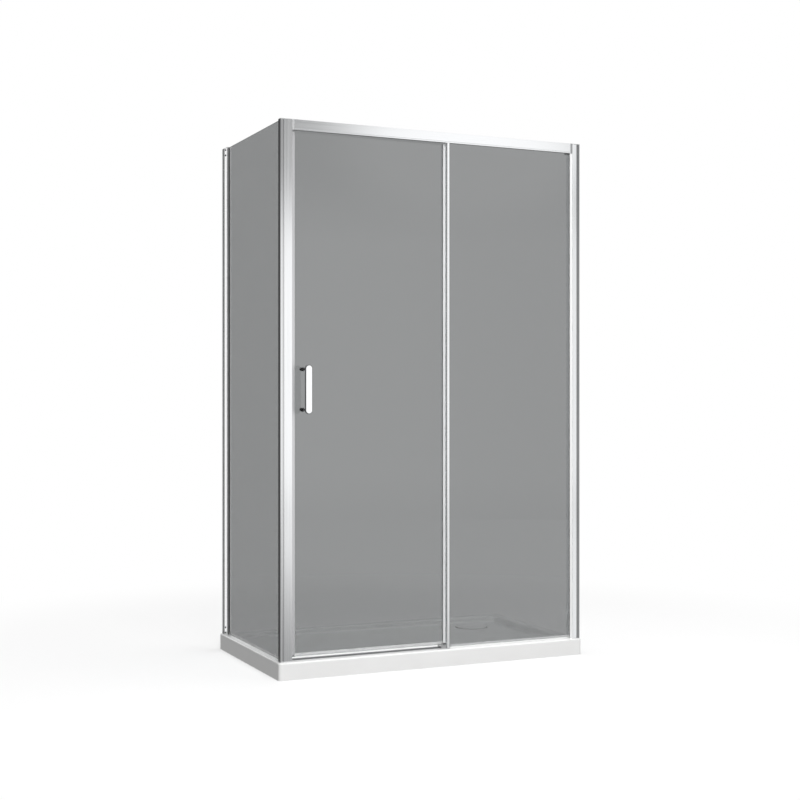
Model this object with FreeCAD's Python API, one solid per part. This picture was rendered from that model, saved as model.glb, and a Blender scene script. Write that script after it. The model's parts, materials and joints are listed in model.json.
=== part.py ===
import FreeCAD, Part
import math
import os

from FreeCAD import Vector

# A corner shower enclosure: a sliding door and a fixed pane in front, a glass return panel on the left,
# and a low tray. Millimetres. The origin is the middle of the tray's underside, +X runs along the front
# from left to right, +Y from front to back, +Z up. The walls stand at the tray's back and right edges.

# Tray
tray_width = 1200.0
tray_depth = 700.0
tray_height = 60.0
tray_corner_radius = 10.0
tray_edge_radius = 5.0
rim_front = 68.0
rim_left = 52.0
rim_right = 46.0
rim_back = 46.0
basin_corner_radius = 60.0
basin_wall_run = 12.0
basin_depth = 20.0
basin_lip_radius = 5.0
floor_fall = 0.006

# Waste
waste_from_right = 198.0
waste_from_back = 163.0
cover_diameter = 125.0
cover_edge = 4.0
cover_crown = 3.0
cover_water_gap = 3.5
cover_spigot_length = 12.0
cover_spigot_wall = 3.0
cover_foot_radius = 3.0
cover_window_width = 30.0
recess_gap = 3.0
recess_depth = 8.0
flange_diameter = 106.0
flange_thickness = 3.0
waste_thread_diameter = 84.0
waste_tail_diameter = 80.0
waste_bore_diameter = 72.0
tail_clear_of_floor = 2.0
tail_length = 12.0
lock_nut_height = 8.0
lock_nut_diameter = 116.0
lock_nut_notch = 10.0
lock_nut_notches = 6
waste_gasket_thickness = 2.0
underside_recess_diameter = 160.0

# Frame
frame_height = 1870.0
frame_setback_front = 16.0
frame_setback_left = 11.0
section_wall = 1.8
slot_wall = 3.0
cap_thickness = 2.0
running_gap = 0.3
play = 0.3

# Panes and how they sit in their profiles
glass_thickness = 6.0
gasket_thickness = 3.0
glass_insert = 12.0
slot_bottom_gap = 2.0
pane_spacing = 22.0
bottom_seal_wall = 2.5
bottom_seal_height = 14.0
bottom_seal_base = 4.0

# Corner: the side panel's post and the door's jamb, with a recessed seam between their faces
side_post_depth = 24.5
corner_strip = 6.0
corner_radius = 4.0
seam_width = 7.0
seam_depth = 3.0
jamb_width = 24.5
magnet_groove_depth = 5.0
magnet_width = 9.0
magnet_stand_out = 2.0
corner_screw_count = 4
corner_screw_inset = 120.0

# Right wall
channel_wall = 2.0
channel_edge_radius = 1.4
right_channel_reach = 11.0
right_jamb_face = 19.0
jamb_end_gap = 1.0
right_bead_stand_out = 9.0

# Left wall
left_channel_reach = 17.5
left_jamb_face = 41.0
left_screw_set_back = 21.5
left_screw_near = 7.0
left_screw_far = 27.0
left_gasket_stand_out = 3.0

# Wall holes, in each channel: an outer pair and an inner pair
wall_hole_diameter = 5.5
wall_hole_inset = 100.0
wall_hole_inner_spacing = 556.0

# Head rail
rail_height = 36.5
rail_end_cap = 8.0
rail_tongue_length = 18.0
rail_tongue_depth = 6.0
rail_tongue_height = 9.0
rail_screw_near = 5.5
rail_screw_far = 13.5
rail_screw_end_gap = 1.0
rail_lip_height = 4.0
rail_groove_height = 1.2
rail_groove_depth = 0.8
rail_web_lift = 4.0
track_height = 6.5
track_thickness = 2.0
track_step_back = 1.7

# Meeting line of door and fixed pane
door_opening = 592.0
fixed_profile_width = 9.0
fixed_profile_half_depth = 7.5
profile_base = 2.0
profile_edge_radius = 1.0
fixed_glass_lift = 6.0
fixed_glass_below_top = 10.0
overlap_seal_base = 1.5
overlap_seal_inset = 1.0
overlap_fin_thickness = 1.5
overlap_seal_end_gap = 20.0

# Door
closed_gap = 5.0
leading_width = 12.0
leading_half_depth = 9.0
leading_base = 3.0
trailing_width = 14.0
trailing_half_depth = 8.0
trailing_base = 2.5
glass_edge_gap = 0.5
door_glass_lift = 12.0
door_glass_into_rail = 18.0
door_profile_lift = 18.0
door_profile_top_gap = 2.0
door_seal_top = 24.0
travel_end_gap = 15.5

# Rollers
wheel_radius = 9.0
wheel_width = 5.0
wheel_chamfer = 0.8
wheel_pitch = 44.0
axle_radius = 2.5
axle_head_radius = 4.0
axle_head_thickness = 1.5
axle_fit = 0.05
wheel_stand_off = 2.0
wheel_back_clearance = 3.0
carriage_length = 70.0
carriage_thickness = 3.0
carriage_above_axle = 10.0
carriage_below_glass_top = 13.0
carriage_corner_radius = 2.0
carriage_left_offset = 86.0
carriage_right_offset = 90.0
clamp_thickness = 3.0
clamp_height = 12.0
clamp_bolt_pitch = 24.0
clamp_bolt_radius = 2.5
clamp_bolt_head_radius = 4.5
clamp_bolt_head = 3.0
clamp_hole_clearance = 1.0
clamp_below_glass_top = 6.5
stop_length = 14.0
stop_height = 13.0

# Threshold and bottom guide
threshold_height = 5.5
threshold_shoulder = 2.0
threshold_half_width = 7.0
threshold_top_half_width = 4.5
seal_over_threshold = 0.6
guide_set_back = 4.0
guide_before_profile = 21.0
guide_past_profile = 15.0
guide_height = 14.0
guide_base = 3.0
guide_insert_wall = 1.0
guide_seal_clearance = 0.5
guide_back_wall = 4.0
guide_corner_radius = 3.0
guide_screw_radius = 1.8
guide_screw_head_radius = 3.4
guide_screw_head = 2.5
guide_screw_depth = 12.0
guide_screw_pitch = 9.0

# Handle
handle_from_edge = 43.5
handle_height = 938.0
handle_length = 169.0
handle_width = 25.0
handle_thickness = 10.0
handle_edge_radius = 2.5
handle_stand_off = 58.5
stem_pitch = 141.0
stem_radius = 4.5
stud_radius = 3.0
stud_socket = 5.0
washer_radius = 6.5
washer_thickness = 1.5
inner_cap_radius = 9.0
inner_cap_length = 9.0
inner_cap_edge = 2.5
glass_hole_clearance = 1.0

# Small screws shared by the frame
screw_radius = 2.0
screw_head_radius = 3.6
screw_head_thickness = 2.0
screw_length = 8.0

# Lines that the pieces share
left, right = -tray_width / 2, tray_width / 2
front, back = -tray_depth / 2, tray_depth / 2
rim = tray_height
top = rim + frame_height
profile_top = top - cap_thickness
slot_width = glass_thickness + 2 * gasket_thickness
slot_depth = glass_insert + slot_bottom_gap
half_glass = glass_thickness / 2
hole_radius = wall_hole_diameter / 2

frame_front = front + frame_setback_front
frame_left = left + frame_setback_left
side_post_right = frame_left + slot_width + 2 * slot_wall
side_glass_x = (frame_left + side_post_right) / 2
side_post_back = frame_front + side_post_depth
fixed_glass_y = frame_front + section_wall + gasket_thickness + half_glass
door_glass_y = fixed_glass_y + pane_spacing
door_glass_front = door_glass_y - half_glass
door_glass_back = door_glass_y + half_glass

carriage_back = door_glass_back + carriage_thickness
wheel_front = carriage_back + wheel_stand_off
wheel_back = wheel_front + wheel_width
rail_inner_back = wheel_back + wheel_back_clearance
frame_back = rail_inner_back + section_wall

jamb_right = side_post_right + jamb_width
right_jamb_left = right - right_channel_reach - right_jamb_face
rail_left = jamb_right + rail_end_cap
rail_right = right_jamb_left - rail_end_cap
rail_bottom = top - rail_height
rail_ceiling = top - section_wall
track_top = rail_bottom + track_height + track_thickness
axle_z = track_top + wheel_radius + running_gap

fixed_profile_left = jamb_right + door_opening
fixed_profile_right = fixed_profile_left + fixed_profile_width
guide_left = fixed_profile_left - guide_before_profile
guide_right = fixed_profile_left + guide_past_profile
guide_front = frame_front + guide_set_back
door_left = jamb_right + closed_gap
door_right = fixed_profile_right
door_travel = right_jamb_left - door_right - travel_end_gap
door_glass_left = door_left + leading_base + glass_edge_gap
door_glass_right = door_right - trailing_base - glass_edge_gap
door_glass_bottom = rim + door_glass_lift
door_glass_top = rail_bottom + door_glass_into_rail
door_profile_bottom = rim + door_profile_lift
door_profile_top = rail_bottom - door_profile_top_gap
carriage_centres = (door_left + carriage_left_offset, door_right - carriage_right_offset)
clamp_bolt_z = door_glass_top - clamp_below_glass_top

handle_x = door_left + handle_from_edge
handle_z = rim + handle_height
handle_y = door_glass_front - handle_stand_off
stem_heights = (handle_z - stem_pitch / 2, handle_z + stem_pitch / 2)

waste_x = right - waste_from_right
waste_y = back - waste_from_back
floor_z = rim - basin_depth
recess_z = floor_z - recess_depth
flange_top = recess_z + flange_thickness
tail_top = tail_clear_of_floor + tail_length
lock_nut_top = tail_top + lock_nut_height
core_top = lock_nut_top + waste_gasket_thickness

# How near two places lie to count as one
touch = 0.001

nodes = {}


# Helpers

def closed_wire(corners, radii):
    # A closed wire through the corners, with a tangent arc at each corner that has a radius.
    pieces = []
    for index, corner in enumerate(corners):
        radius = radii.get(index, 0.0)
        if not radius:
            pieces.append((corner, None, corner))
            continue
        to_last = (corners[index - 1] - corner).normalize()
        to_next = (corners[(index + 1) % len(corners)] - corner).normalize()
        half_angle = to_last.getAngle(to_next) / 2
        reach = radius / math.tan(half_angle)
        inward = (to_last + to_next).normalize() * (radius / math.sin(half_angle) - radius)
        pieces.append((corner + to_last * reach, corner + inward, corner + to_next * reach))
    edges = []
    for index, (start, middle, end) in enumerate(pieces):
        if middle:
            edges.append(Part.Arc(start, middle, end).toShape())
        following = pieces[(index + 1) % len(pieces)][0]
        if (following - end).Length > touch:
            edges.append(Part.LineSegment(end, following).toShape())
    return Part.Wire(edges)


def upright(points, low, high, radii=None):
    # An outline in plan, raised from low to high.
    wire = closed_wire([Vector(x, y, low) for x, y in points], radii or {})
    return Part.Face(wire).extrude(Vector(0, 0, high - low))


def lengthwise(points, start, stop, radii=None):
    # A section in Y and Z, drawn out along X.
    wire = closed_wire([Vector(start, y, z) for y, z in points], radii or {})
    return Part.Face(wire).extrude(Vector(stop - start, 0, 0))


def crosswise(points, start, stop, radii=None):
    # A section in X and Z, drawn out along Y.
    wire = closed_wire([Vector(x, start, z) for x, z in points], radii or {})
    return Part.Face(wire).extrude(Vector(0, stop - start, 0))


def rectangle(x_low, x_high, y_low, y_high):
    return [(x_low, y_low), (x_high, y_low), (x_high, y_high), (x_low, y_high)]


def block(x_span, y_span, z_span):
    corner = Vector(x_span[0], y_span[0], z_span[0])
    sizes = [span[1] - span[0] for span in (x_span, y_span, z_span)]
    return Part.makeBox(*sizes, corner)


def rod(start, end, radius):
    direction = end - start
    return Part.makeCylinder(radius, direction.Length, start, direction)


def ring(centre, outer, inner, low, high):
    foot, head = Vector(centre.x, centre.y, low), Vector(centre.x, centre.y, high)
    return rod(foot, head, outer).cut(rod(foot, head, inner))


def screw(seat, direction, length, radius=screw_radius, head_radius=screw_head_radius,
          head=screw_head_thickness):
    # A pan-head screw: the head stands on the seat, the shank runs along the direction.
    shank = rod(seat, seat + direction * length, radius)
    return shank.fuse(rod(seat - direction * head, seat, head_radius)).removeSplitter()


def edges_where(shape, test):
    return [edge for edge in shape.Edges if test(edge.BoundBox)]


def spread(first, last, count):
    return [first + (last - first) * step / (count - 1) for step in range(count)]


# Tray: an acrylic top, with a basin whose floor falls towards the waste, bonded to a resin core

def make_tray():
    outline = rectangle(left, right, front, back)
    outline_radii = {0: tray_corner_radius, 1: tray_corner_radius}
    tray = upright(outline, core_top, rim, outline_radii)
    rim_edges = edges_where(tray, lambda box: box.ZMin > rim - touch)
    tray = tray.makeFillet(tray_edge_radius, rim_edges)

    basin = [left + rim_left, right - rim_right, front + rim_front, back - rim_back]
    corners = {index: basin_corner_radius for index in range(4)}
    upper = closed_wire([Vector(x, y, rim) for x, y in rectangle(*basin)], corners)
    run = basin_wall_run
    lower_box = [basin[0] + run, basin[1] - run, basin[2] + run, basin[3] - run]
    lower = closed_wire([Vector(x, y, floor_z) for x, y in rectangle(*lower_box)],
                        {index: basin_corner_radius - run for index in range(4)})
    hollow = Part.makeLoft([lower, upper], True, True)
    waste_radius = cover_diameter / 2 + recess_gap
    falling = Part.makeCone(waste_radius, waste_radius + basin_depth / floor_fall, basin_depth,
                            Vector(waste_x, waste_y, floor_z))
    tray = tray.cut(hollow.common(falling))
    lip = edges_where(tray, lambda box: box.ZMin > rim - touch and box.XMin > basin[0] - touch
                      and box.XMax < basin[1] + touch and box.YMin > basin[2] - touch
                      and box.YMax < basin[3] + touch)
    tray = tray.makeFillet(basin_lip_radius, lip)

    def at(z):
        return Vector(waste_x, waste_y, z)

    tray = tray.cut(rod(at(recess_z), at(rim), waste_radius))
    tray = tray.cut(rod(at(core_top), at(recess_z), waste_thread_diameter / 2 + running_gap))
    for x, y in guide_screw_places():
        tray = tray.cut(rod(Vector(x, y, rim - guide_screw_depth), Vector(x, y, rim), guide_screw_radius))
    nodes["shower_tray"] = tray
    core = upright(outline, 0, core_top, outline_radii)
    nodes["tray_core"] = core.cut(rod(at(0), at(core_top), underside_recess_diameter / 2))


def guide_screw_places():
    middle = (guide_left + fixed_profile_left) / 2
    return [(middle + side * guide_screw_pitch / 2, fixed_glass_y) for side in (-1, 1)]


# Waste: flange, gasket, lock nut and a lift-off cover with a windowed spigot

def make_waste():
    centre = Vector(waste_x, waste_y, 0)
    bore = waste_bore_diameter / 2
    flange = ring(centre, flange_diameter / 2, bore, recess_z, flange_top)
    flange = flange.fuse(ring(centre, waste_thread_diameter / 2, bore, tail_top, recess_z))
    flange = flange.fuse(ring(centre, waste_tail_diameter / 2, bore, tail_clear_of_floor, tail_top))
    nodes["waste_flange"] = flange.removeSplitter()
    thread = waste_thread_diameter / 2
    nodes["waste_gasket"] = ring(centre, lock_nut_diameter / 2, thread, lock_nut_top, core_top)

    nut = ring(centre, lock_nut_diameter / 2, thread, tail_top, lock_nut_top)
    for step in range(lock_nut_notches):
        angle = 2 * math.pi * step / lock_nut_notches
        foot = centre + Vector(math.cos(angle), math.sin(angle), 0) * (lock_nut_diameter / 2)
        nut = nut.cut(rod(Vector(foot.x, foot.y, tail_top), Vector(foot.x, foot.y, lock_nut_top),
                          lock_nut_notch / 2))
    nodes["waste_lock_nut"] = nut

    radius = cover_diameter / 2
    cover_bottom = flange_top + cover_water_gap
    edge_top = cover_bottom + cover_edge
    crown_top = edge_top + cover_crown
    dome_radius = (radius ** 2 + cover_crown ** 2) / (2 * cover_crown)
    half_sweep = math.asin(radius / dome_radius) / 2
    dome_middle = Vector(dome_radius * math.sin(half_sweep), 0,
                         crown_top - dome_radius * (1 - math.cos(half_sweep)))
    profile = Part.Wire([
        Part.LineSegment(Vector(0, 0, cover_bottom), Vector(radius, 0, cover_bottom)).toShape(),
        Part.LineSegment(Vector(radius, 0, cover_bottom), Vector(radius, 0, edge_top)).toShape(),
        Part.Arc(Vector(radius, 0, edge_top), dome_middle, Vector(0, 0, crown_top)).toShape(),
        Part.LineSegment(Vector(0, 0, crown_top), Vector(0, 0, cover_bottom)).toShape()])
    cover = Part.Face(profile).revolve(Vector(0, 0, 0), Vector(0, 0, 1), 360)
    cover.translate(centre)
    spigot = bore - 2 * running_gap
    cover = cover.fuse(ring(centre, spigot, spigot - cover_spigot_wall, flange_top - cover_spigot_length,
                            cover_bottom))
    window_low = flange_top - cover_spigot_length / 2
    for along_x in (True, False):
        wide, narrow = 2 * radius, cover_window_width
        half_x, half_y = (wide / 2, narrow / 2) if along_x else (narrow / 2, wide / 2)
        cover = cover.cut(block((waste_x - half_x, waste_x + half_x), (waste_y - half_y, waste_y + half_y),
                                (window_low, cover_bottom)))
    rest = cover_bottom - flange_top - running_gap
    for side in (-1, 1):
        foot_x = waste_x + side * (bore + (flange_diameter / 2 - bore) / 2)
        foot = Vector(foot_x, waste_y, flange_top + running_gap)
        cover = cover.fuse(rod(foot, foot + Vector(0, 0, rest), cover_foot_radius))
    nodes["waste_cover"] = cover.removeSplitter()


# Corner post, door jamb, their screws and cap

def make_corner():
    slot_left, slot_right = side_glass_x - slot_width / 2, side_glass_x + slot_width / 2
    slot_end = side_post_back - slot_depth
    strip_end = frame_left + corner_strip
    step_y = frame_front + seam_depth
    post = upright([(frame_left, frame_front), (strip_end, frame_front), (strip_end, step_y),
                    (side_post_right, step_y), (side_post_right, side_post_back),
                    (slot_right, side_post_back), (slot_right, slot_end), (slot_left, slot_end),
                    (slot_left, side_post_back), (frame_left, side_post_back)],
                   rim, profile_top, {0: corner_radius})

    face_left = strip_end + seam_width
    flange_back = step_y - running_gap
    groove = jamb_right - magnet_groove_depth
    groove_low, groove_high = door_glass_y - magnet_width / 2, door_glass_y + magnet_width / 2
    jamb = upright([(face_left, frame_front), (jamb_right, frame_front), (jamb_right, groove_low),
                    (groove, groove_low), (groove, groove_high), (jamb_right, groove_high),
                    (jamb_right, frame_back), (side_post_right, frame_back), (side_post_right, flange_back),
                    (face_left, flange_back)], rim, profile_top)
    chamber_left = side_post_right + section_wall
    jamb = jamb.cut(block((chamber_left, groove - section_wall),
                          (frame_front + section_wall, frame_back - section_wall), (rim, profile_top)))

    screw_y = (step_y + slot_end) / 2
    screws = []
    for z in spread(rim + corner_screw_inset, profile_top - corner_screw_inset, corner_screw_count):
        seat = Vector(chamber_left, screw_y, z)
        screws.append(screw(seat, Vector(-1, 0, 0), section_wall + screw_length))
        shank = rod(seat, seat - Vector(section_wall + screw_length, 0, 0), screw_radius)
        jamb, post = jamb.cut(shank), post.cut(shank)
    nodes["side_corner_post"] = post
    nodes["front_corner_jamb"] = jamb
    nodes["corner_screws"] = Part.makeCompound(screws)
    nodes["jamb_magnet_seal"] = block((groove, jamb_right + magnet_stand_out), (groove_low, groove_high),
                                      (rim + threshold_height, rail_bottom))
    nodes["corner_post_cap"] = upright(
        [(frame_left, frame_front), (jamb_right, frame_front), (jamb_right, frame_back),
         (side_post_right, frame_back), (side_post_right, side_post_back), (frame_left, side_post_back)],
        profile_top, top, {0: corner_radius})


# Wall channels with their screw holes, the jambs that slide into them, and caps

def wall_hole_heights():
    middle = (rim + profile_top) / 2
    half_inner = wall_hole_inner_spacing / 2
    return (rim + wall_hole_inset, middle - half_inner, middle + half_inner, profile_top - wall_hole_inset)


def make_right_wall():
    channel_front = frame_front - play - channel_wall
    channel_back = frame_back + play + channel_wall
    mouth = right - right_channel_reach
    floor_x = right - channel_wall
    channel = upright([(right, channel_front), (mouth, channel_front), (mouth, channel_front + channel_wall),
                       (floor_x, channel_front + channel_wall), (floor_x, channel_back - channel_wall),
                       (mouth, channel_back - channel_wall), (mouth, channel_back), (right, channel_back)],
                      rim, profile_top, {1: channel_edge_radius})
    hole_y = (channel_front + channel_back) / 2
    for z in wall_hole_heights():
        channel = channel.cut(rod(Vector(floor_x, hole_y, z), Vector(right, hole_y, z), hole_radius))
    nodes["wall_channel_right"] = channel

    slot_front, slot_back = fixed_glass_y - slot_width / 2, fixed_glass_y + slot_width / 2
    slot_end = right_jamb_left + slot_depth
    jamb_end = floor_x - jamb_end_gap
    jamb = block((right_jamb_left, jamb_end), (frame_front, frame_back), (rim, profile_top))
    wall = section_wall
    for x_span, y_span in (((right_jamb_left, slot_end), (slot_front, slot_back)),
                           ((right_jamb_left + wall, slot_end), (slot_back + wall, frame_back - wall)),
                           ((slot_end + wall, jamb_end), (frame_front + wall, frame_back - wall))):
        jamb = jamb.cut(block(x_span, y_span, (rim, profile_top)))
    nodes["right_jamb"] = jamb
    nodes["right_jamb_cap"] = upright(
        [(right_jamb_left, frame_front), (mouth, frame_front), (mouth, channel_front), (right, channel_front),
         (right, channel_back), (mouth, channel_back), (mouth, frame_back), (right_jamb_left, frame_back)],
        profile_top, top)

    bead_x = (right_jamb_left - right_bead_stand_out, right_jamb_left + glass_insert)
    bead_height = (rim, rail_bottom - running_gap)
    nodes["fixed_glass_gasket"] = Part.makeCompound([
        block(bead_x, (slot_front, slot_front + gasket_thickness), bead_height),
        block(bead_x, (slot_back - gasket_thickness, slot_back), bead_height)])


def make_left_wall():
    channel_left = frame_left - play - channel_wall
    channel_right = side_post_right + play + channel_wall
    mouth = back - left_channel_reach
    floor_y = back - channel_wall
    channel = upright([(channel_left, mouth), (channel_left + channel_wall, mouth),
                       (channel_left + channel_wall, floor_y), (channel_right - channel_wall, floor_y),
                       (channel_right - channel_wall, mouth), (channel_right, mouth), (channel_right, back),
                       (channel_left, back)], rim, profile_top, {0: channel_edge_radius})
    for z in wall_hole_heights():
        inner, outer = Vector(side_glass_x, floor_y, z), Vector(side_glass_x, back, z)
        channel = channel.cut(rod(inner, outer, hole_radius))
    nodes["wall_channel_left"] = channel

    jamb_front = mouth - left_jamb_face
    jamb_end = floor_y - jamb_end_gap
    slot_left, slot_right = side_glass_x - slot_width / 2, side_glass_x + slot_width / 2
    slot_end = jamb_front + slot_depth
    jamb = block((frame_left, side_post_right), (jamb_front, jamb_end), (rim, profile_top))
    for y_span in ((jamb_front, slot_end), (slot_end + section_wall, jamb_end)):
        jamb = jamb.cut(block((slot_left, slot_right), y_span, (rim, profile_top)))
    screws = []
    for z in (rim + left_screw_near, rim + left_screw_far,
              profile_top - left_screw_far, profile_top - left_screw_near):
        seat = Vector(frame_left, jamb_front + left_screw_set_back, z)
        screws.append(screw(seat, Vector(1, 0, 0), screw_length))
        jamb = jamb.cut(rod(seat, seat + Vector(slot_wall, 0, 0), screw_radius))
    nodes["side_wall_jamb"] = jamb
    nodes["jamb_screws"] = Part.makeCompound(screws)
    nodes["side_jamb_cap"] = upright(
        [(frame_left, jamb_front), (side_post_right, jamb_front), (side_post_right, mouth),
         (channel_right, mouth), (channel_right, back), (channel_left, back), (channel_left, mouth),
         (frame_left, mouth)], profile_top, top)
    return jamb_front


# Side pane with its gaskets and bottom seal

def glazing_strips(y_span):
    inner, outer = half_glass, slot_width / 2
    return Part.makeCompound([
        block((side_glass_x - outer, side_glass_x - inner), y_span, (rim, profile_top)),
        block((side_glass_x + inner, side_glass_x + outer), y_span, (rim, profile_top))])


def bottom_seal_section(middle, seal_bottom, seal_top, glass_bottom):
    # A U round a pane's lower edge: across the pane, then up.
    outer = half_glass + bottom_seal_wall
    return [(middle - outer, seal_bottom), (middle + outer, seal_bottom), (middle + outer, seal_top),
            (middle + half_glass, seal_top), (middle + half_glass, glass_bottom),
            (middle - half_glass, glass_bottom), (middle - half_glass, seal_top), (middle - outer, seal_top)]


def make_side_panel(jamb_front):
    glass_bottom = rim + bottom_seal_base
    glass_front, glass_back = side_post_back - glass_insert, jamb_front + glass_insert
    nodes["side_glass"] = block((side_glass_x - half_glass, side_glass_x + half_glass),
                                (glass_front, glass_back), (glass_bottom, profile_top))
    nodes["side_glass_gasket_front"] = glazing_strips((glass_front, side_post_back))
    nodes["side_glass_gasket_back"] = glazing_strips((jamb_front - left_gasket_stand_out, glass_back))
    section = bottom_seal_section(side_glass_x, rim, rim + bottom_seal_height, glass_bottom)
    nodes["side_bottom_seal"] = crosswise(section, side_post_back, jamb_front - left_gasket_stand_out)


# Head rail: a channel for the fixed pane in front and a roller track behind it

def make_rail():
    slot_back = fixed_glass_y + slot_width / 2
    web_back = slot_back + section_wall
    inner_front = frame_front + section_wall
    web_bottom = rail_bottom + rail_web_lift
    ledge_front = carriage_back + track_step_back
    ledge_low = track_top - track_thickness
    groove_low = rail_bottom + rail_lip_height
    groove_high = groove_low + rail_groove_height
    groove_y = frame_front + rail_groove_depth
    section = [(frame_front, rail_bottom), (frame_front, groove_low), (groove_y, groove_low),
               (groove_y, groove_high), (frame_front, groove_high), (frame_front, top), (frame_back, top),
               (frame_back, ledge_low), (ledge_front, ledge_low), (ledge_front, track_top),
               (rail_inner_back, track_top), (rail_inner_back, rail_ceiling), (web_back, rail_ceiling),
               (web_back, web_bottom), (slot_back, web_bottom), (slot_back, rail_ceiling),
               (inner_front, rail_ceiling), (inner_front, rail_bottom)]
    rail = lengthwise(section, rail_left, rail_right)

    screws = []
    screw_z = rail_ceiling - rail_tongue_height / 2
    tongue_y = (rail_inner_back - rail_tongue_depth, rail_inner_back)
    tongue_z = (rail_ceiling - rail_tongue_height, rail_ceiling)
    for name, outer, inner, way in (("rail_end_cap_left", jamb_right, rail_left, 1),
                                    ("rail_end_cap_right", right_jamb_left, rail_right, -1)):
        tip = inner + way * rail_tongue_length
        cap = block(sorted((outer, inner)), (frame_front, frame_back), (rail_bottom, top))
        cap = cap.fuse(block(sorted((inner, tip)), tongue_y, tongue_z))
        if way < 0:
            cap = cap.cut(block((inner, outer), (inner_front, slot_back), (rail_bottom, rail_ceiling)))
        for distance in (rail_screw_near, rail_screw_far):
            seat = Vector(inner + way * distance, frame_back, screw_z)
            reach = section_wall + rail_tongue_depth - rail_screw_end_gap
            screws.append(screw(seat, Vector(0, -1, 0), reach))
            shank = rod(seat, seat - Vector(0, reach, 0), screw_radius)
            cap, rail = cap.cut(shank), rail.cut(shank)
        nodes[name] = cap.removeSplitter()
    nodes["head_rail"] = rail
    nodes["rail_screws"] = Part.makeCompound(screws)

    half = carriage_length / 2
    stop_y = (door_glass_back, rail_inner_back)
    stop_z = (rail_ceiling - stop_height, rail_ceiling)
    left_face = carriage_centres[0] - half - running_gap
    right_face = carriage_centres[1] + half + door_travel + running_gap
    nodes["rail_stop_left"] = block((left_face - stop_length, left_face), stop_y, stop_z)
    nodes["rail_stop_right"] = block((right_face, right_face + stop_length), stop_y, stop_z)

    pane_top = top - fixed_glass_below_top
    gasket_top = pane_top + slot_bottom_gap
    pane_front, pane_back = fixed_glass_y - half_glass, fixed_glass_y + half_glass
    gasket = [(inner_front, web_bottom), (pane_front, web_bottom), (pane_front, pane_top),
              (pane_back, pane_top), (pane_back, web_bottom), (slot_back, web_bottom),
              (slot_back, gasket_top), (inner_front, gasket_top)]
    nodes["fixed_rail_gasket"] = lengthwise(gasket, fixed_profile_left, right_jamb_left)


# Fixed pane, its leading-edge profile, the overlap seal and the bottom seal

def make_fixed_pane():
    glass_left = fixed_profile_left + profile_base + glass_edge_gap
    glass_right = right_jamb_left + glass_insert
    glass_bottom = rim + fixed_glass_lift
    nodes["fixed_glass"] = block((glass_left, glass_right),
                                 (fixed_glass_y - half_glass, fixed_glass_y + half_glass),
                                 (glass_bottom, top - fixed_glass_below_top))
    profile_back = fixed_glass_y + fixed_profile_half_depth
    profile_span = (rim + guide_base + running_gap, rail_bottom - running_gap)
    outline = edge_profile_outline(fixed_profile_left, fixed_profile_right, profile_base, fixed_glass_y,
                                   fixed_profile_half_depth)
    nodes["fixed_leading_profile"] = upright(outline, *profile_span,
                                             {0: profile_edge_radius, 7: profile_edge_radius})

    base_back = profile_back + overlap_seal_base
    seal_left = fixed_profile_left + overlap_seal_inset
    seal_right = fixed_profile_right - overlap_seal_inset
    fin_end = door_glass_y - trailing_half_depth - running_gap
    middle = (fixed_profile_left + fixed_profile_right) / 2
    half_fin = overlap_fin_thickness / 2
    nodes["overlap_seal"] = upright(
        [(seal_left, profile_back), (seal_right, profile_back), (seal_right, base_back),
         (middle + half_fin, base_back), (middle + half_fin, fin_end), (middle - half_fin, fin_end),
         (middle - half_fin, base_back), (seal_left, base_back)],
        rim + overlap_seal_end_gap, rail_bottom - overlap_seal_end_gap)

    section = bottom_seal_section(fixed_glass_y, rim, rim + bottom_seal_height, glass_bottom)
    nodes["fixed_bottom_seal"] = lengthwise(section, guide_right + running_gap,
                                            right_jamb_left - right_bead_stand_out)


def edge_profile_outline(base_x, mouth_x, base, middle_y, half_depth):
    # A U in plan, closed at base_x and open at mouth_x, that holds a pane's upright edge.
    way = 1 if mouth_x > base_x else -1
    floor_x = base_x + way * base
    low, high = middle_y - half_depth, middle_y + half_depth
    slot_low, slot_high = middle_y - half_glass, middle_y + half_glass
    return [(base_x, low), (mouth_x, low), (mouth_x, slot_low), (floor_x, slot_low),
            (floor_x, slot_high), (mouth_x, slot_high), (mouth_x, high), (base_x, high)]


# Threshold strip and the guide that the door's lower edge runs through

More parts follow.
